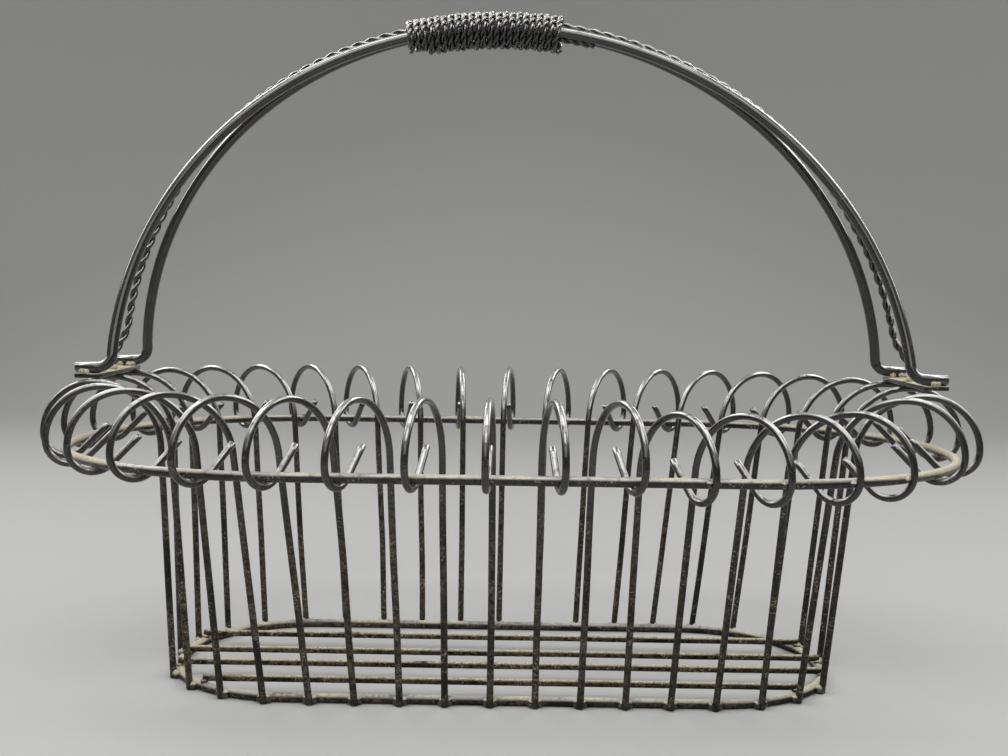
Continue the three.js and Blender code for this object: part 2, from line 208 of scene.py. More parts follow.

# %% [markdown]
# ## Paint, painted highlight, dust and dirt
# All the iron wears one gloss black paint, and all of it has been in use. A painted highlight
# lies on the upper sides: a light metal grey that stands in for the light that they mirror.
# Dust lies on what faces up, a brown film covers the lower wires, and small specks of dirt sit
# anywhere. Each effect is a node group with its own inputs, built once and used by each
# material with its own values. Painting these by hand would take a picture for every wire.

# %% Node helpers for numbers
def new_group(name, inputs, outputs):
    """A node group, the numbers that it is given and the numbers that it puts out."""
    group = bpy.data.node_groups.new(name, "ShaderNodeTree")
    for label, value in inputs.items():
        socket = group.interface.new_socket(label, in_out="INPUT", socket_type="NodeSocketFloat")
        socket.default_value = value
    for label in outputs:
        group.interface.new_socket(label, in_out="OUTPUT", socket_type="NodeSocketFloat")
    given = group.nodes.new("NodeGroupInput").outputs
    return group, given, group.nodes.new("NodeGroupOutput").inputs


def give(tree, socket, value):
    """Set a socket to a plain value, or link another socket to it."""
    if isinstance(value, (int, float, tuple)):
        socket.default_value = value
    else:
        tree.links.new(value, socket)


def maths(tree, operation, first, second=0.0):
    node = tree.nodes.new("ShaderNodeMath")
    node.operation = operation
    give(tree, node.inputs[0], first)
    give(tree, node.inputs[1], second)
    return node.outputs[0]


def product(tree, *factors):
    result = factors[0]
    for factor in factors[1:]:
        result = maths(tree, "MULTIPLY", result, factor)
    return result


def rest_of(tree, share):
    return maths(tree, "SUBTRACT", 1.0, share)


print("helpers:", ", ".join(f.__name__ for f in (new_group, give, maths, product, rest_of)))

# %% Node helpers that read the surface
def ramp(tree, source, low, high):
    """0 below low, 1 above high and smooth between them."""
    node = tree.nodes.new("ShaderNodeMapRange")
    node.interpolation_type = "SMOOTHSTEP"
    node.inputs["From Min"].default_value = low
    node.inputs["From Max"].default_value = high
    tree.links.new(source, node.inputs["Value"])
    return node.outputs["Result"]


def surface_place(tree):
    return tree.nodes.new("ShaderNodeTexCoord").outputs["Object"]


def noise_field(tree, scale, detail, roughness=0.5):
    node = tree.nodes.new("ShaderNodeTexNoise")
    give(tree, node.inputs["Scale"], scale)
    node.inputs["Detail"].default_value = detail
    node.inputs["Roughness"].default_value = roughness
    tree.links.new(surface_place(tree), node.inputs["Vector"])
    return node.outputs["Fac"]


def part_along(tree, vector, axis):
    split = tree.nodes.new("ShaderNodeSeparateXYZ")
    tree.links.new(vector, split.inputs[0])
    return split.outputs[axis]


def facing_up(tree):
    """1 where the surface faces up, 0 where it stands and -1 where it faces down."""
    return part_along(tree, tree.nodes.new("ShaderNodeNewGeometry").outputs["Normal"], "Z")


print("helpers:", ", ".join(f.__name__ for f in (ramp, surface_place, noise_field, part_along, facing_up)))

# %% [markdown]
# ## Settled dust
# Dust lies in patches on the upper side of each wire and is thickest at the two ends of the
# basket. The way that a surface faces gives where dust can lie, and two noises, one wide and
# one fine, give its patches and its grain.

# %% Dust that settles on what faces up
end_begins, end_full = 130 * mm, 230 * mm
end_cover, cover_strength = 0.5, 0.6
dust_settings = {"Cover": 0.5, "Ends": 0.0, "Scale": 60.0}
dust, dust_in, dust_out = new_group("settled_dust", dust_settings, ["Mask"])
from_middle = maths(dust, "ABSOLUTE", part_along(dust, surface_place(dust), "X"))
at_ends = product(dust, ramp(dust, from_middle, end_begins, end_full), dust_in["Ends"])
upward = ramp(dust, maths(dust, "ADD", facing_up(dust), at_ends), low=0.35, high=0.95)
cover = maths(dust, "ADD", dust_in["Cover"], product(dust, at_ends, end_cover))
clouds = noise_field(dust, dust_in["Scale"], detail=5.0, roughness=0.62)
laid = maths(dust, "ADD", clouds, product(dust, cover, cover_strength))
patches = ramp(dust, laid, low=0.68, high=0.92)
grains = ramp(dust, noise_field(dust, scale=1400.0, detail=3.0), low=0.25, high=0.6)
dust.links.new(product(dust, upward, patches, grains), dust_out["Mask"])
print("dust group:", len(dust.nodes), "nodes")

# %% [markdown]
# ## Specks of dirt and rust
# Specks are the peaks of a fine noise, gathered into clusters by a wide one. The group also
# puts out their height, because dried dirt stands proud of the paint. The input High says how
# much of them stays above the legs, where the curls are cleaner.

# %% Specks of dirt and rust
leg_top, curl_begins = 70 * mm, 150 * mm
cluster_strength = 0.14
speck, speck_in, speck_out = new_group("specks", {"Amount": 0.5, "High": 1.0}, ["Mask", "Height"])
fine = noise_field(speck, scale=900.0, detail=4.0, roughness=0.6)
clusters = ramp(speck, noise_field(speck, scale=90.0, detail=3.0), low=0.35, high=0.7)
peaks = maths(speck, "ADD", fine, product(speck, clusters, cluster_strength))
above_legs = ramp(speck, part_along(speck, surface_place(speck), "Z"), leg_top, curl_begins)
missing = product(speck, above_legs, rest_of(speck, speck_in["High"]))
speck_height = product(speck, ramp(speck, peaks, low=0.66, high=0.74), rest_of(speck, missing))
speck.links.new(product(speck, speck_height, speck_in["Amount"]), speck_out["Mask"])
speck.links.new(speck_height, speck_out["Height"])
print("speck group:", len(speck.nodes), "nodes")

# %% [markdown]
# ## Brown film
# A brown film of old dirt lies on the legs and the floor wires. It hides the gloss, so it has
# two masks. One gives its colour, mottled and thinner at the right. The other says how dull
# the wire is. It has no gaps, because a film too thin to be seen still takes the gloss.

# %% Brown film on the lower wires
film_top = 155 * mm
right_begins, right_full = -100 * mm, 250 * mm
lost_above, lost_at_right = 0.85, 0.7
film, film_in, film_out = new_group("brown_film", {"Amount": 0.5}, ["Mask", "Dull"])
film_place = surface_place(film)
higher = ramp(film, part_along(film, film_place, "Z"), leg_top, film_top)
at_right = ramp(film, part_along(film, film_place, "X"), right_begins, right_full)
dull_low = rest_of(film, product(film, higher, lost_above))
less_right = rest_of(film, product(film, at_right, lost_at_right))
mottle = ramp(film, noise_field(film, scale=420.0, detail=5.0, roughness=0.65), low=0.36, high=0.64)
areas = ramp(film, noise_field(film, scale=22.0, detail=2.0), low=0.28, high=0.55)
film_mask = product(film, dull_low, less_right, mottle, areas, film_in["Amount"])
film.links.new(film_mask, film_out["Mask"])
film.links.new(product(film, dull_low, film_in["Amount"]), film_out["Dull"])
print("film group:", len(film.nodes), "nodes")

# %% [markdown]
# ## Painted highlight and the paint's skin
# A painted highlight gives the wires their silvery tops: a light metal grey on the upper sides
# that stands in for the light that they mirror. Like dust it follows what faces up, but it
# begins lower down the side and has few gaps. The skin is the paint's own unevenness: slow
# waves and fine pits for the bump, and a cloud that makes it a little thinner and rougher in places.

# %% Painted highlight on the upper side
painted_highlight, highlight_in, highlight_out = new_group("painted_highlight_tops", {"Amount": 0.5}, ["Mask"])
highlight_side = ramp(painted_highlight, facing_up(painted_highlight), low=0.15, high=0.75)
highlight_patches = ramp(painted_highlight, noise_field(painted_highlight, scale=260.0, detail=4.0), low=0.2, high=0.5)
painted_highlight.links.new(product(painted_highlight, highlight_side, highlight_patches, highlight_in["Amount"]), highlight_out["Mask"])
print("worn group:", len(painted_highlight.nodes), "nodes")

# %% Skin of brushed or dipped paint
pit_share = 0.25
skin, skin_in, skin_out = new_group("paint_skin", {"Unevenness": 0.5}, ["Height", "Cloud"])
waves = noise_field(skin, scale=160.0, detail=2.0)
pits = product(skin, noise_field(skin, scale=1100.0, detail=3.0), pit_share)
skin_height = product(skin, maths(skin, "ADD", waves, pits), skin_in["Unevenness"])
cloud = ramp(skin, noise_field(skin, scale=55.0, detail=4.0), low=0.3, high=0.7)
skin.links.new(skin_height, skin_out["Height"])
skin.links.new(cloud, skin_out["Cloud"])
print("skin group:", len(skin.nodes), "nodes")

# %% [markdown]
# ## The paint as a material
# The colours lie over each other: paint, the painted highlight on the upper sides, film,
# specks, and dust on top. Dirt also makes the surface matt and takes away the clear coat that
# gives the paint its gloss, and the painted highlight makes it metal.

# %% Colours, laid over each other
paint_black = (0.003, 0.003, 0.0035, 1)
paint_thin = (0.011, 0.010, 0.009, 1)
# Painted highlight: a light metal grey for the upper sides, standing in for the light they mirror.
painted_highlight_grey = (0.46, 0.455, 0.44, 1)
film_brown = (0.115, 0.094, 0.062, 1)
speck_brown = (0.33, 0.29, 0.21, 1)
dust_beige = (0.56, 0.51, 0.37, 1)


def blend_colour(tree, mask, first, second):
    node = tree.nodes.new("ShaderNodeMix")
    node.data_type = "RGBA"
    ends = [socket for socket in node.inputs if socket.type == "RGBA"]
    give(tree, ends[0], first)
    give(tree, ends[1], second)
    tree.links.new(mask, node.inputs[0])
    return [socket for socket in node.outputs if socket.type == "RGBA"][0]


def layered_colour(tree, effects):
    # The second layer is the painted highlight on the upper sides.
    layers = (("paint_skin", "Cloud", paint_thin), ("painted_highlight_tops", "Mask", painted_highlight_grey),
              ("brown_film", "Mask", film_brown), ("specks", "Mask", speck_brown),
              ("settled_dust", "Mask", dust_beige))
    colour = paint_black
    for group, mask, layer in layers:
        colour = blend_colour(tree, effects[group][mask], colour, layer)
    return colour


print("the paint reflects", paint_black[0], "of the light, and dust", dust_beige[0])

# %% Effects placed in a material
def place_effects(tree, settings):
    """A node for each effect group, with this material's values, and its outputs by name."""
    effects = {}
    for group, values in settings.items():
        node = tree.nodes.new("ShaderNodeGroup")
        node.node_tree = bpy.data.node_groups[group]
        for label, value in values.items():
            node.inputs[label].default_value = value
        effects[group] = node.outputs
    return effects


print("effects:", ", ".join(group.name for group in bpy.data.node_groups))

# %% Painted iron
under_coat_shine, coat_index, coat_roughness = 0.15, 1.75, 0.07
film_dulls, highlight_spreads, dirt_spreads = 1.1, 0.5, 0.6
bump_strength, bump_depth, speck_rise = 0.5, 0.4 * mm, 0.6


def painted_iron(name, cover, specks, film, unevenness, smooth=0.06, rough=0.16, gloss=0.3,
                 dust_scale=60.0, ends=0.0, high=1.0, painted_highlight=0.0):
    material = bpy.data.materials.new(name)
    material.use_nodes = True
    tree = material.node_tree
    shader = tree.nodes["Principled BSDF"].inputs
    shader["Specular IOR Level"].default_value = under_coat_shine
    shader["Coat IOR"].default_value = coat_index
    shader["Coat Roughness"].default_value = coat_roughness
    effects = place_effects(tree, {
        "settled_dust": {"Cover": cover, "Ends": ends, "Scale": dust_scale},
        "specks": {"Amount": specks, "High": high}, "brown_film": {"Amount": film},
        "paint_skin": {"Unevenness": unevenness}, "painted_highlight_tops": {"Amount": painted_highlight}})
    # The painted highlight's mask makes the upper sides light grey, metal and rougher.
    highlight_mask = effects["painted_highlight_tops"]["Mask"]
    dirt = maths(tree, "MAXIMUM", effects["specks"]["Mask"], effects["settled_dust"]["Mask"])
    matt = maths(tree, "MAXIMUM", dirt, product(tree, effects["brown_film"]["Dull"], film_dulls))
    glossy = rest_of(tree, matt)
    uneven = product(tree, effects["paint_skin"]["Cloud"], rough - smooth)
    matt_or_highlit = maths(tree, "MAXIMUM", matt, product(tree, highlight_mask, highlight_spreads))
    spread = maths(tree, "ADD", maths(tree, "ADD", uneven, smooth), product(tree, matt_or_highlit, dirt_spreads))
    proud = product(tree, effects["specks"]["Height"], speck_rise * specks)
    bump = tree.nodes.new("ShaderNodeBump")
    bump.inputs["Strength"].default_value = bump_strength
    bump.inputs["Distance"].default_value = bump_depth
    give(tree, bump.inputs["Height"], maths(tree, "ADD", effects["paint_skin"]["Height"], proud))
    give(tree, shader["Base Color"], layered_colour(tree, effects))
    give(tree, shader["Metallic"], product(tree, highlight_mask, glossy))
    give(tree, shader["Roughness"], maths(tree, "MINIMUM", spread, 1.0))
    give(tree, shader["Coat Weight"], product(tree, glossy, gloss))
    give(tree, shader["Normal"], bump.outputs["Normal"])
    return material


print("a speck stands", round(bump_depth * bump_strength * speck_rise / mm, 2), "mm proud at most")

# %% [markdown]
# ## One finish for each kind of wire
# The handle is the cleanest, and hands keep it glossy. The uprights are clean at the curls and
# brown on the legs. The floor wires are the dirtiest, and the rings are dusty at the ends.

# %% Finishes
# The handle, pair, upright and ring finishes each give an amount of painted highlight on the upper sides.
handle_paint = painted_iron("handle_paint", cover=0.12, specks=0.12, film=0.0, unevenness=0.5,
                            gloss=0.9, painted_highlight=0.75)
# The pair's heavy dust cover is partly dust and partly a painted highlight that lightens the tops of its
# strands.
pair_paint = painted_iron("pair_paint", cover=0.6, specks=0.2, film=0.0, unevenness=0.6,
                          gloss=1.0, dust_scale=200.0, painted_highlight=0.85)
upright_paint = painted_iron("upright_paint", cover=0.2, specks=0.6, film=0.75, unevenness=0.7,
                             gloss=0.9, high=0.25, painted_highlight=0.8)
floor_paint = painted_iron("floor_paint", cover=0.75, specks=0.9, film=1.0, unevenness=0.9,
                           smooth=0.3, rough=0.55, gloss=0.25)
ring_paint = painted_iron("ring_paint", cover=0.5, specks=0.6, film=0.8, unevenness=0.8,
                          smooth=0.2, rough=0.4, gloss=0.5, dust_scale=28.0, ends=0.6, painted_highlight=0.7)
plate_paint = painted_iron("plate_paint", cover=0.7, specks=0.4, film=0.3, unevenness=1.0,
                           gloss=0.5)
bead_paint = painted_iron("bead_paint", cover=0.8, specks=0.5, film=0.2, unevenness=1.0,
                          gloss=1.0, ends=1.2)
spatter_paint = painted_iron("spatter_paint", cover=1.5, specks=0.9, film=0.2, unevenness=1.0,
                             ends=2.0)
print("finishes:", ", ".join(m.name for m in bpy.data.materials if m.name.endswith("_paint")))

# %% [markdown]
# ## Base ring and rim ring
# Each ring is one wire bent to the oval. The real ring has a welded joint at the back, which
# hardly shows, so the ring is drawn closed. The rim sways a little to either side of its oval,
# as a wire bent by hand does.

# %% Rings
ring_step = 1.5 * mm
rim_sway, rim_seed = 0.7 * mm, 6.4
ring_waves = 9


def ring_path(offset, level, sway, seed):
    count = round(4 * oval_quarter(offset) / ring_step)
    points = []
    for i in range(count):
        point, outward = oval_point(offset, i / count)
        drift = noise.noise(point * ring_waves + Vector((seed, 0, 0)))
        points.append(point + outward * (sway * drift) + Vector((0, 0, level)))
    return points


rings = {"base_ring": (0.0, base_level, 0.0, 0.0), "rim_ring": (flare, rim_level, rim_sway, rim_seed)}
for name, ring in rings.items():
    bm = bmesh.new()
    wire(bm, [ring_path(*ring)], ring_wire, closed=True)
    finish_piece(name + "_wire", bm, ring_paint, [name])

# %% [markdown]
# ## Floor wires
# Four straight wires lie lengthwise on the base ring. Each is a line between the two ends of
# its solid, cut into even steps so that it can bend a little sideways, as a wire does that was
# straightened by hand.

# %% Even steps along a path
def resample(path, step):
    """The same path with points evenly spaced, about one step apart."""
    lengths = [0.0]
    for a, b in zip(path, path[1:]):
        lengths.append(lengths[-1] + (b - a).length)
    count = max(2, round(lengths[-1] / step))
    points, k = [], 0
    for i in range(count + 1):
        want = lengths[-1] * i / count
        while k < len(path) - 2 and lengths[k + 1] < want:
            k += 1
        span = lengths[k + 1] - lengths[k]
        points.append(path[k].lerp(path[k + 1], (want - lengths[k]) / span if span else 0))
    return points


floor_step = 6 * mm
floor_low, floor_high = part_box("floor_wire_1")
print("a floor wire takes", len(resample([floor_low, floor_high], floor_step)), "points")

# %% Floor wires
floor_sway, floor_waves = 0.5 * mm, 14
floor_ends = []
for index in range(1, 5):
    node = f"floor_wire_{index}"
    low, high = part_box(node)
    across = (low.y + high.y) / 2
    left, right = Vector((low.x, across, floor_level)), Vector((high.x, across, floor_level))
    steps = resample([left, right], floor_step)
    path = [p + Vector((0, floor_sway * noise.noise(p * floor_waves), 0)) for p in steps]
    bm = bmesh.new()
    wire(bm, [path], floor_wire)
    finish_piece(node + "_wire", bm, floor_paint, [node])
    floor_ends += [left, right]
print("floor wire ends:", len(floor_ends))

# %% [markdown]
# ## Uprights
# Each upright is one wire: a straight leg that leans outward, a big curl outward and down, a
# smaller hook under the rim ring and a straight tip that rises inside the curl. The profile is
# worked out flat, as distance outward and height, and then stood up between its foot on the
# base ring and its hook on the rim ring.

# %% Profile of an upright
curl_top = 167 * mm
curl_inner_radius = 36 * mm
curl_outer_radius = 28.3 * mm
hook_radius = 12.5 * mm
tip_length = 20 * mm
tip_slope = radians(45)
foot_height = 0.7 * mm
leg_steps, curl_steps, hook_steps, tip_steps = 24, 20, 24, 5
curl_level = curl_top - upright_wire / 2 - curl_outer_radius


def arc_points(out, up, radius, start, end, steps):
    """An arc round a middle that lies out and up, between two headings: 0 is straight up."""
    headings = [start + (end - start) * i / steps for i in range(steps + 1)]
    return [(out - radius * cos(heading), up + radius * sin(heading)) for heading in headings]


def upright_profile(run, drop):
    middle = run - (curl_outer_radius - hook_radius)
    level = curl_level - drop
    inner_level = level + curl_outer_radius - curl_inner_radius
    rise = inner_level - foot_height
    lean = atan2(middle, rise) - asin(curl_inner_radius / hypot(middle, rise))
    last = 1.5 * pi + tip_slope
    inner = arc_points(middle, inner_level, curl_inner_radius, lean, pi / 2, curl_steps)
    outer = arc_points(middle, level, curl_outer_radius, pi / 2, pi, curl_steps)
    hook = arc_points(run, level, hook_radius, pi, last, hook_steps)
    (top_out, top_up), (end_out, end_up) = inner[0], hook[-1]
    shares = [i / leg_steps for i in range(leg_steps)]
    leg = [(top_out * share, foot_height + (top_up - foot_height) * share) for share in shares]
    reaches = [tip_length * i / tip_steps for i in range(1, tip_steps + 1)]
    tip = [(end_out + reach * sin(last), end_up + reach * cos(last)) for reach in reaches]
    return leg + inner[:-1] + outer + hook[1:] + tip


plain = upright_profile(flare, 0)
print("a plain upright takes", round(sum(dist(a, b) for a, b in zip(plain, plain[1:])) / mm), "mm of wire")

# %% Path of an upright
hand_sway, hand_waves = 0.9 * mm, 12
seed_stride = 7.3
free_height = 60 * mm
ring_to_upright = (ring_wire + upright_wire) / 2 + weld_gap


def upright_path(foot_share, hook_share, drop):
    foot, foot_out = oval_point(0, foot_share)
    start = foot + foot_out * ring_to_upright
    end, end_out = oval_point(flare, hook_share)
    across = end - start
    run = across.length
    across.normalize()
    if drop:
        beside = ring_to_upright / across.dot(end_out)
        run -= sqrt(hook_radius ** 2 - (curl_level - drop - rim_level) ** 2) - beside
    points = [start + across * out + Vector((0, 0, up)) for out, up in upright_profile(run, drop)]
    return points, across


def hand_bent(points, across, seed):
    """A little sideways sway, as a wire bent by hand keeps, that fades out at the foot."""
    side = Vector((-across.y, across.x, 0))
    swayed = []
    for point in points:
        sway = hand_sway * noise.noise(Vector((seed * seed_stride, point.z * hand_waves, 0)))
        swayed.append(point + side * (sway * min(point.z / free_height, 1)))
    return swayed


print("an upright stands", round(ring_to_upright / mm, 2), "mm outside the base ring's middle")

# %% Rows of uprights
back_row = {"count": 19, "feet": (0.0105, 0.493), "hooks": (0.0035, 0.4955), "low": ()}
front_row = {"count": 17, "feet": (0.54, 0.949), "hooks": (0.53, 0.953), "low": (11, 12, 13, 14)}
low_hook_drop = 5.5 * mm
uprights = []
for row in (back_row, front_row):
    for i in range(row["count"]):
        step = i / (row["count"] - 1)
        foot = row["feet"][0] + (row["feet"][1] - row["feet"][0]) * step
        hook = row["hooks"][0] + (row["hooks"][1] - row["hooks"][0]) * step
        drop = low_hook_drop if i in row["low"] else 0
        path = hand_bent(*upright_path(foot, hook, drop), len(uprights) + 1.0)
        uprights.append({"path": path, "foot": foot, "hook": hook, "drop": drop})
print("uprights planned:", len(uprights))

# %% Uprights
drawn_upright = upright_wire - 0.1 * mm
for index, upright in enumerate(uprights, 1):
    bm = bmesh.new()
    wire(bm, [upright["path"]], drawn_upright)
    node = f"upright_{index:02d}"
    finish_piece(node + "_wire", bm, upright_paint, [node])

# %% [markdown]
# ## Weld beads
# A weld leaves a small frozen drop where two wires touch. A ball pushed about by noise looks
# like one. An icosphere is used because its faces are even, so the noise has no seam or pole.
# Two beads stand by each foot, one lies under each end of a floor wire, and one joins each
# hook to the rim. Those of a ring are one piece, because they share one finish.

# %% Bead
bead_splits = 2
bead_lumps = 0.22
wide_lumps, narrow_lumps, narrow_share = 1.3, 3, 0.5
wide_shift, narrow_shift = 900, 700


def bead(bm, place, radius, stretch):
    """Add a lumpy ball. Its lumps are a share of its radius, and each place shifts their noise."""
    made = bmesh.ops.create_icosphere(bm, subdivisions=bead_splits, radius=1.0)
    for vert in made["verts"]:
        wide = noise.noise(vert.co * wide_lumps + place * wide_shift)
        narrow = noise.noise(vert.co * narrow_lumps + place * narrow_shift)
        pushed = radius * (1 + bead_lumps * (wide + narrow_share * narrow))
        vert.co = place + Vector([a * b for a, b in zip(vert.co, stretch)]) * pushed


trial = bmesh.new()
bead(trial, Vector(), 1 * mm, (1, 1, 1))
print("one bead has", len(trial.faces), "faces")
trial.free()

# %% Beads of the base
foot_bead, foot_bead_apart, foot_bead_rise = 2.2 * mm, 2.1 * mm, 0.3 * mm
floor_bead, floor_bead_in, floor_bead_below = 2.3 * mm, 0.6 * mm, 1.9 * mm
bm = bmesh.new()
for upright in uprights:
    foot, outward = oval_point(0, upright["foot"])
    along = Vector((-outward.y, outward.x, 0))
    for side in (-1, 1):
        beside = outward * (ring_wire * 0.75) + along * (side * foot_bead_apart)
        spot = foot + beside + Vector((0, 0, base_level + foot_bead_rise))
        bead(bm, spot, foot_bead, (0.9, 0.9, 1.0))
for end in floor_ends:
    inward = Vector((-floor_bead_in if end.x > 0 else floor_bead_in, 0, -floor_bead_below))
    bead(bm, end + inward, floor_bead, (1.0, 1.1, 0.8))
finish_piece("base_beads", bm, bead_paint)

# %% Beads of the rim
hook_bead = 1.9 * mm
bm = bmesh.new()
for upright in uprights:
    rim, outward = oval_point(flare, upright["hook"])
    touch = outward * (ring_wire * 0.5) if upright["drop"] else Vector((0, 0, -ring_wire * 0.5))
    bead(bm, rim + touch + Vector((0, 0, rim_level)), hook_bead, (1.0, 1.0, 0.8))
finish_piece("rim_beads", bm, bead_paint)

# %% [markdown]
# ## Plates
# A flat bar lies on the curls at each end and carries the handle. It starts as a box the size
# of its solid, and its corners and edges are bevelled, because a sheared bar has neither a
# sharp edge nor a round one.

# %% Plates
corner_rounding, edge_rounding = 1.5 * mm, 0.5 * mm
upright_edge = 1 * mm
sharp_turn = 1.0


def soften(bm, edges, offset, segments):
    bmesh.ops.bevel(bm, geom=edges, offset=offset, segments=segments, profile=0.5, affect="EDGES",
                    clamp_overlap=True, material=-1)


for side in ("right", "left"):
    node = "plate_" + side
    low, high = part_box(node)
    bm = bmesh.new()
    bmesh.ops.create_cube(bm, size=1.0)
    bmesh.ops.scale(bm, verts=bm.verts, vec=high - low)
    bmesh.ops.translate(bm, verts=bm.verts, vec=node_middle(node))
    corners = [e for e in bm.edges if abs((e.verts[0].co - e.verts[1].co).z) > upright_edge]
    soften(bm, corners, corner_rounding, 3)
    edges = [e for e in bm.edges if len(e.link_faces) == 2 and e.calc_face_angle(0) > sharp_turn]
    soften(bm, edges, edge_rounding, 2)
    finish_piece(node + "_bar", bm, plate_paint, [node])

# %% [markdown]
# ## Arch handle
# Two rods follow the upper part of an oval and lean together towards the grip, each leg in
# one plane. Their feet turn outward and lie on the plates. A pair of thin wires, twisted
# together, runs between the rods on the legs and on top of them at the grip.

# %% Arch
plate_low, plate_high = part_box("plate_right")
plate_top = plate_high.z
reach_inside_plate = 5 * mm
arch_reach = plate_low.x - reach_inside_plate
foot_level = plate_top + handle_rod / 2 + weld_gap
arch_top = 366.7 * mm
arch_dip = 9.5 * mm
arch_lean = -7.2 * mm
foot_angle = asin(arch_dip / (arch_top - foot_level + arch_dip))
small_turn, halvings = 1e-4, 40


def rise_share(angle):
    return (sin(angle) - sin(foot_angle)) / (1 - sin(foot_angle))


def arch_point(angle):
    share = rise_share(angle)
    x = arch_reach * cos(angle) / cos(foot_angle) + arch_lean * share
    return Vector((x, 0, foot_level + (arch_top - foot_level) * share))


def arch_outward(angle):
    along = arch_point(angle + small_turn) - arch_point(angle - small_turn)
    return Vector((along.z, 0, -along.x)).normalized()


def arch_angle_at(x):
    """The angle at which the arch crosses x, found by halving the range again and again."""
    low, high = 0.0, pi
    for _ in range(halvings):
        middle = (low + high) / 2
        if arch_point(middle).x > x:
            low = middle
        else:
            high = middle
    return (low + high) / 2


print("arch reaches", round(arch_reach, 4), "and its foot stands at", round(foot_level, 4))

# %% Where the rods come together
grip_left, grip_right = -61.0 * mm, 25.8 * mm
early_left, early_right = 3 * mm, 18 * mm
rod_inset, rod_gap = 3.5 * mm, 0.5 * mm
foot_spread = plate_high.y - rod_inset
grip_spread = (handle_rod + rod_gap) / 2
together_left = rise_share(arch_angle_at(grip_left - early_left))
together_right = rise_share(arch_angle_at(grip_right + early_right))


def leg_share(angle):
    together = together_right if angle < pi / 2 else together_left
    return min(max(rise_share(angle) / together, 0), 1)


def rod_point(side, angle):
    point = arch_point(angle)
    point.y = side * (foot_spread + (grip_spread - foot_spread) * leg_share(angle))
    return point


print("the rods come together from", round(2 * foot_spread / mm, 1), "mm to", round(2 * grip_spread / mm, 1))

# %% Foot of a rod
foot_bend, bend_steps = 8 * mm, 10
tip_inset = 0.5 * mm
leg_glance = pi / 44


def round_bend(corner, toward_start, toward_end, radius):
    inward = (toward_start + toward_end).normalized()
    across = (toward_end - toward_start).normalized()
    half = toward_start.angle(toward_end) / 2
    middle = corner + inward * (radius / sin(half))
    points = []
    for i in range(bend_steps + 1):
        turn = (pi / 2 - half) * (2 * i / bend_steps - 1)
        points.append(middle - inward * (radius * cos(turn)) + across * (radius * sin(turn)))
    return points


def rod_foot(side, end):
    start = foot_angle if end > 0 else pi - foot_angle
    corner = rod_point(side, start)
    tip = Vector((end * (plate_high.x - tip_inset), corner.y, corner.z))
    up = (rod_point(side, start + end * leg_glance) - corner).normalized()
    return [tip] + round_bend(corner, Vector((end, 0, 0)), up, foot_bend)


print("a rod's foot takes", len(rod_foot(1, 1)), "points")

# %% Handle rods
arch_steps = 150
rod_sides = 18
arch_angles = [foot_angle + (pi - 2 * foot_angle) * i / arch_steps for i in range(arch_steps + 1)]
for name, side in (("front", -1), ("rear", 1)):
    right, left = rod_foot(side, 1), rod_foot(side, -1)
    left.reverse()
    lowest = max(right[-1].z, left[0].z) + handle_rod / 2
    arch = [p for p in (rod_point(side, a) for a in arch_angles[1:-1]) if p.z > lowest]
    bm = bmesh.new()
    wire(bm, [right + arch + left], handle_rod, sides=rod_sides)
    finish_piece(f"handle_rod_{name}_wire", bm, handle_paint, [f"handle_rod_{name}"])

# %% [markdown]
# ## Twisted wires
# A twisted wire is two thin strands that wind round a middle path. Each strand's path is the
# middle path moved sideways, and the direction it is moved in turns once each lay. The frame
# that turns is carried along the path, so that the twist stays even in the bends.

# %% Strands round a path
def strands(path, strand, lay, steps):
    """Paths of two strands that go once round the path in each lay, drawn in so many steps."""
    points = resample(path, lay / steps)
    paths = [[], []]
    side = (points[1] - points[0]).normalized().orthogonal().normalized()
    for i, point in enumerate(points):
        ahead = points[min(i + 1, len(points) - 1)] - points[max(i - 1, 0)]
        along = ahead.normalized()
        side = (side - along * side.dot(along)).normalized()
        other = along.cross(side)
        for k, strand_path in enumerate(paths):
            turn = 2 * pi * (i / steps + k / 2)
            strand_path.append(point + (side * cos(turn) + other * sin(turn)) * (strand / 2))
    return paths


pair_lay, pair_steps, pair_sides = 16 * mm, 10, 10
sample = strands([Vector(), Vector((0, 0, pair_lay))], pair_strand, pair_lay, pair_steps)
print("one lay of the pair takes", len(sample[0]), "points for each strand")

# %% Twisted pair on the handle
def smooth(value, low, high):
    t = min(max((value - low) / (high - low), 0), 1)
    return t * t * (3 - 2 * t)


groove_offset = 4.0 * mm
leg_offset = 2.5 * mm
pair_foot = plate_low.x + 5 * mm
foot_offset = pair_foot - arch_reach
pair_foot_level = plate_top + pair_strand * 0.6
foot_left_by = 0.12
climb_begins, climb_ends = 0.38, 0.75


def pair_point(angle):
    share = leg_share(angle)
    near_foot = 1 - smooth(share, 0, foot_left_by)
    near_grip = smooth(share, climb_begins, climb_ends)
    on_leg = leg_offset * (1 - near_foot) * (1 - near_grip)
    offset = foot_offset * near_foot + on_leg + groove_offset * near_grip
    return arch_point(angle) + arch_outward(angle) * offset


def on_plate(point):
    return Vector((point.x, point.y, pair_foot_level))


leg_and_top = [pair_point(angle) for angle in arch_angles]
pair_path = [on_plate(leg_and_top[0]), *leg_and_top, on_plate(leg_and_top[-1])]
bm = bmesh.new()
wire(bm, strands(pair_path, pair_strand, pair_lay, pair_steps), pair_strand, sides=pair_sides)
finish_piece("handle_twisted_pair", bm, pair_paint, ["handle_twisted_wire"])

# %% [markdown]
# ## Grip
# The grip is one length of thin twisted wire. Its tail lies along the underside of the rods
# first, and the wire is then wound 23 times round the rods, the twisted pair and its own tail.
# The way round is found as the tight loop round four circles, one for each thing inside.

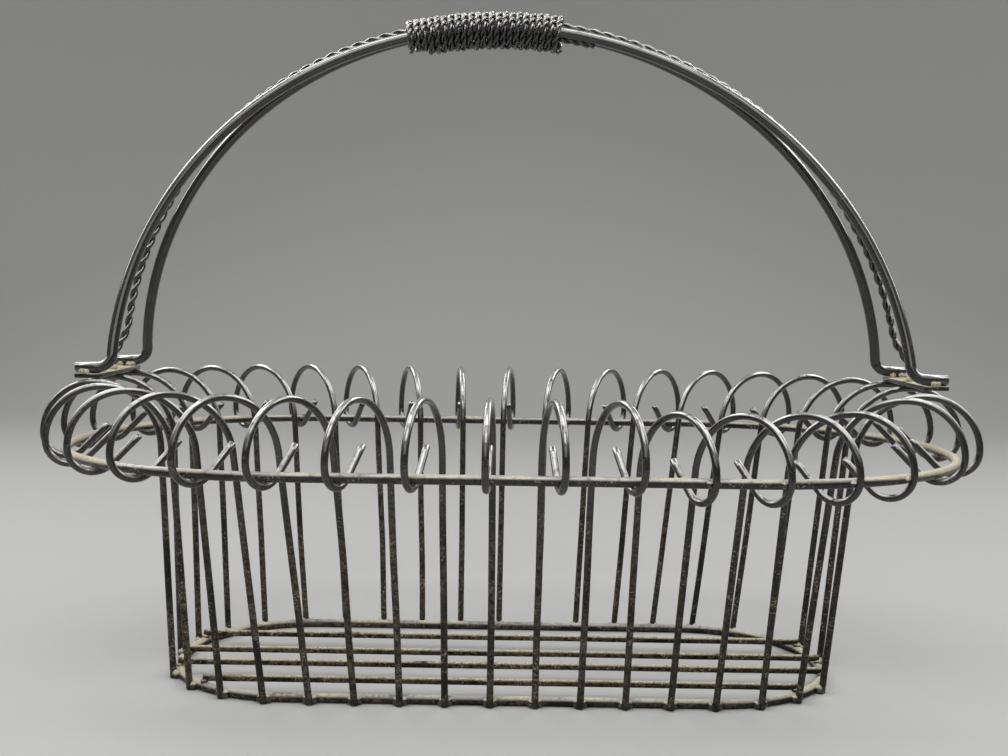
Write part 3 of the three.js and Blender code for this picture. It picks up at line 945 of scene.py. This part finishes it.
# %% Loop round the rods, the pair and the tail
wound = 2 * winding_strand
slack = 0.1 * mm
tail_depth = 3.7 * mm
outline_sides = 180
loose_hang = 2.6 * mm
last_tight_turn, first_loose_turn = 1.6, 3.0
no_length = 1e-9


def hang_at(turn):
    """How far the loops hang below the tail: the first turns at the left are tight."""
    return loose_hang * smooth(turn, last_tight_turn, first_loose_turn)


def loop_outline(hang):
    out = wound / 2 + slack
    circles = [(-grip_spread, 0, handle_rod / 2 + out), (grip_spread, 0, handle_rod / 2 + out),
               (0, groove_offset, pair_strand + out - slack), (0, -tail_depth - hang, wound / 2 + out)]
    outline = []
    for i in range(outline_sides):
        angle = -pi / 2 - 2 * pi * i / outline_sides
        ny, nz = cos(angle), sin(angle)
        y, z, radius = max(circles, key=lambda c: c[0] * ny + c[1] * nz + c[2])
        outline.append((y + radius * ny, z + radius * nz))
    return outline


def point_round(outline, share):
    """The point that lies a share of the way round a closed outline."""
    closed = outline + outline[:1]
    lengths = [0.0]
    for a, b in zip(closed, closed[1:]):
        lengths.append(lengths[-1] + hypot(b[0] - a[0], b[1] - a[1]))
    want = share * lengths[-1]
    k = next(j for j in range(len(outline)) if lengths[j + 1] >= want)
    part = (want - lengths[k]) / max(lengths[k + 1] - lengths[k], no_length)
    a, b = closed[k], closed[k + 1]
    return a[0] + (b[0] - a[0]) * part, a[1] + (b[1] - a[1]) * part


across_half = point_round(loop_outline(0.0), 0.5)
print("a tight loop is", round((across_half[1] - loop_outline(0.0)[0][1]) / mm, 1), "mm high")

# %% Winding and its tail
turns, loop_steps = 23, 60
pitch = (grip_right - grip_left) / turns
tail_steps, tail_past, tail_aside = 40, 19 * mm, -1.0 * mm
winding_lay, winding_steps, winding_sides = 11 * mm, 9, 8


def beside_arch(x, aside, above):
    angle = arch_angle_at(x)
    point = arch_point(angle) + arch_outward(angle) * above
    point.y = aside
    return point


winding = []
for i in range(turns * loop_steps + 1):
    turn = i / loop_steps
    aside, above = point_round(loop_outline(hang_at(turn)), turn % 1)
    winding.append(beside_arch(grip_left + pitch * turn, aside, above))
tail_length = grip_right + tail_past - grip_left
tail_places = [grip_left + tail_length * i / tail_steps for i in range(tail_steps + 1)]
tail = [beside_arch(x, tail_aside, -tail_depth) for x in tail_places]
bm = bmesh.new()
for path in (winding, tail):
    pair = strands(path, winding_strand, winding_lay, winding_steps)
    wire(bm, pair, winding_strand, sides=winding_sides)
finish_piece("grip_winding_wire", bm, pair_paint, ["grip_winding"])

# %% [markdown]
# ## Beads on the plates
# Weld spatter lies along both sides of each rod's foot, and a larger bead holds the twisted
# pair's end. The spots are listed one by one, and they are the same at all four feet.

# %% Beads on the plates
spatter = ((-3, -2.4), (2.2, -2.6), (4.5, -2.3), (0.2, 2.4), (-2, 2.6))
spatter_inset = 6.5 * mm
spatter_bead, spatter_rise = 1.6 * mm, 1.1 * mm
pair_bead, pair_bead_rise = 2.6 * mm, 1.2 * mm
bm = bmesh.new()
for end in (-1, 1):
    edge = end * (plate_high.x - spatter_inset)
    for side in (-1, 1):
        for dx, dy in spatter:
            spot = Vector((edge + dx * mm, side * (foot_spread + dy * mm), plate_top + spatter_rise))
            bead(bm, spot, spatter_bead, (1.2, 0.8, 1.1))
    spot = Vector((end * pair_foot, 0, plate_top + pair_bead_rise))
    bead(bm, spot, pair_bead, (1.1, 1.2, 0.9))
finish_piece("plate_beads", bm, spatter_paint)

# %% [markdown]
# ## Floor and backdrop
# A plain grey sheet runs under the basket and curves up behind it, as in a photographer's
# studio. Its strip is a profile extruded sideways, with the bend made by a bevel.

# %% Sweep
half_width, behind, wall_height = 6, 2.2, 5
bend_size, bend_faces = 0.9, 16
profile = ((-half_width, -half_width, 0), (-half_width, behind, 0), (-half_width, behind, wall_height))
bm = bmesh.new()
line = [bm.verts.new(point) for point in profile]
for i in range(2):
    bm.edges.new(line[i:i + 2])
bmesh.ops.bevel(bm, geom=[line[1]], offset=bend_size, segments=bend_faces, profile=0.5,
                affect="VERTICES", material=-1)
made = bmesh.ops.extrude_edge_only(bm, edges=list(bm.edges))
far_side = [v for v in made["geom"] if isinstance(v, bmesh.types.BMVert)]
bmesh.ops.translate(bm, verts=far_side, vec=(2 * half_width, 0, 0))
bmesh.ops.recalc_face_normals(bm, faces=bm.faces)
for face in bm.faces:
    face.smooth = True
mesh = bpy.data.meshes.new("sweep")
bm.to_mesh(mesh)
bm.free()
sweep = bpy.data.objects.new("sweep", mesh)
bpy.context.scene.collection.objects.link(sweep)
print("sweep has", len(mesh.polygons), "faces")

# %% [markdown]
# ## Colour of the sheet
# The sheet is light grey on the floor and darker up the wall. Far from the basket it also glows
# evenly, but only for the camera and for what gloss paint mirrors. Light Path tells these rays
# from the rest, so the glow fills the picture and puts no light on the wires.

# %% Sheet
backdrop_level = 0.2
floor_grey, wall_grey = (0.38, 0.38, 0.372, 1), (0.19, 0.19, 0.19, 1)


def seen_or_mirrored(tree):
    rays = tree.nodes.new("ShaderNodeLightPath").outputs
    return maths(tree, "MAXIMUM", rays["Is Camera Ray"], rays["Is Glossy Ray"])


sheet = bpy.data.materials.new("sheet")
sheet.use_nodes = True
tree = sheet.node_tree
sheet_shader = tree.nodes["Principled BSDF"].inputs
sheet_shader["Roughness"].default_value = 0.85
sheet_shader["Emission Color"].default_value = (1, 1, 0.98, 1)
wall = ramp(tree, part_along(tree, surface_place(tree), "Z"), low=0.0, high=0.9)
give(tree, sheet_shader["Base Color"], blend_colour(tree, wall, floor_grey, wall_grey))
distance = tree.nodes.new("ShaderNodeVectorMath")
distance.operation = "LENGTH"
give(tree, distance.inputs[0], surface_place(tree))
far = ramp(tree, distance.outputs["Value"], low=0.9, high=3.2)
glow = product(tree, seen_or_mirrored(tree), far, backdrop_level)
give(tree, sheet_shader["Emission Strength"], glow)
sweep.data.materials.append(sheet)
print("sheet material:", len(tree.nodes), "nodes")

# %% [markdown]
# ## Light
# A round gloss wire shows its shape by the long highlight that it mirrors, and a highlight is
# only as wide as its lamp. So three soft lamps make a tall arc in front of the basket and over
# it. A panel stands at each side, and one at each back corner keeps the back from going dark.

# %% Lamps
def lamp(name, place, size, power):
    light = bpy.data.lights.new(name, "AREA")
    light.shape = "RECTANGLE"
    light.size, light.size_y = size
    light.energy = power
    holder = bpy.data.objects.new(name, light)
    holder.location = place
    holder.rotation_euler = (lamp_aim - Vector(place)).to_track_quat("-Z", "Y").to_euler()
    holder.visible_camera = False
    bpy.context.scene.collection.objects.link(holder)


lamp_aim = Vector((0, 0, 0.15))
lamp("top", (-0.05, -0.26, 1.37), size=(1.2, 0.5), power=9.5)
lamp("front_high", (-0.05, -0.88, 1.03), size=(1.2, 0.42), power=8)
lamp("front_low", (-0.05, -1.17, 0.58), size=(1.2, 0.35), power=2)
for side, word in ((-1, "left"), (1, "right")):
    lamp(word, (side * 1.3, 0.2, 1.0), size=(0.5, 0.8), power=6.5)
    lamp("back_" + word, (side * 0.9, 0.95, 1.15), size=(0.9, 0.6), power=9)

# %% World
fill_level = 0.06
world = bpy.data.worlds.new("studio")
bpy.context.scene.world = world
world.use_nodes = True
tree = world.node_tree
background = tree.nodes["Background"].inputs
background["Color"].default_value = (1, 1, 1, 1)
seen_extra = product(tree, seen_or_mirrored(tree), backdrop_level - fill_level)
give(tree, background["Strength"], maths(tree, "ADD", seen_extra, fill_level))
bpy.context.scene.view_settings.view_transform = "Standard"
print("world:", len(tree.nodes), "nodes")

# %% [markdown]
# ## Camera
# The camera's place, turn and angle of view were fitted to the feet, curls, rings and handle
# that the photograph shows. Focal length is in pixels of a picture 1008 wide.

# %% Camera
camera_place = Vector((-1.72, -759.53, 220.25)) * mm
pitch_down, yaw, roll = 0.0687, -0.0032, 0.0151
focal_pixels = 1317
picture_width = 1008
forward = Vector((sin(yaw) * cos(pitch_down), cos(yaw) * cos(pitch_down), -sin(pitch_down)))
level_right = Vector((cos(yaw), -sin(yaw), 0))
level_up = level_right.cross(forward)
camera_right = level_right * cos(roll) + level_up * sin(roll)
camera_up = level_up * cos(roll) - level_right * sin(roll)
data = bpy.data.cameras.new("camera")
data.sensor_width = 36
data.lens = focal_pixels / picture_width * data.sensor_width
data.clip_start = 0.05
camera = bpy.data.objects.new("camera", data)
turn = Matrix((camera_right, camera_up, -forward)).transposed()
camera.matrix_world = Matrix.Translation(camera_place) @ turn.to_4x4()
bpy.context.scene.collection.objects.link(camera)
bpy.context.scene.camera = camera
print("lens", round(data.lens, 2), "mm")
